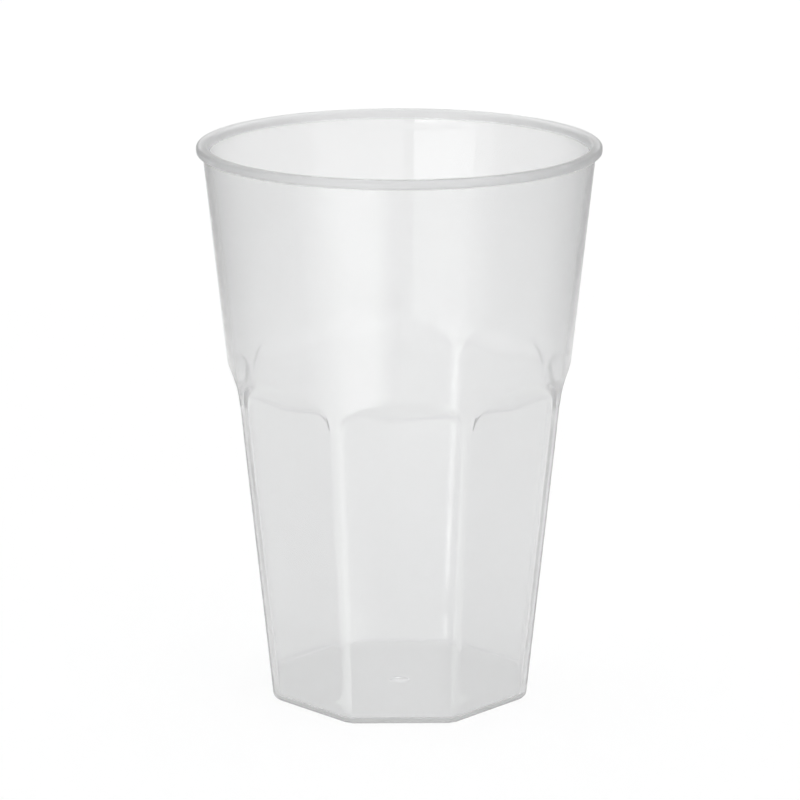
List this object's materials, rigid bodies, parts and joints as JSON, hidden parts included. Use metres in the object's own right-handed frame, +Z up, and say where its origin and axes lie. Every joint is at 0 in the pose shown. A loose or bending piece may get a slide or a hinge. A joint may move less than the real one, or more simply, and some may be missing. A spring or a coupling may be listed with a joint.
{
  "type": "plastic cup",
  "caption": "Clear moulded drinking cup: a round flared mouth with a rim bead over a tapered body of flat facets with arched tops, on a flat base.",
  "frame": {"origin": "centre of the base, on the face that it stands on", "axes": "+Z up along the cup's axis towards the mouth; -Y is square to one facet"},
  "size_m": [0.084, 0.084, 0.1179],
  "materials": {
    "clear_plastic": "clear moulded plastic, smooth, with a slight haze"
  },
  "bodies": {
    "root": {"cup": "clear_plastic"}
  },
  "joints": []
}
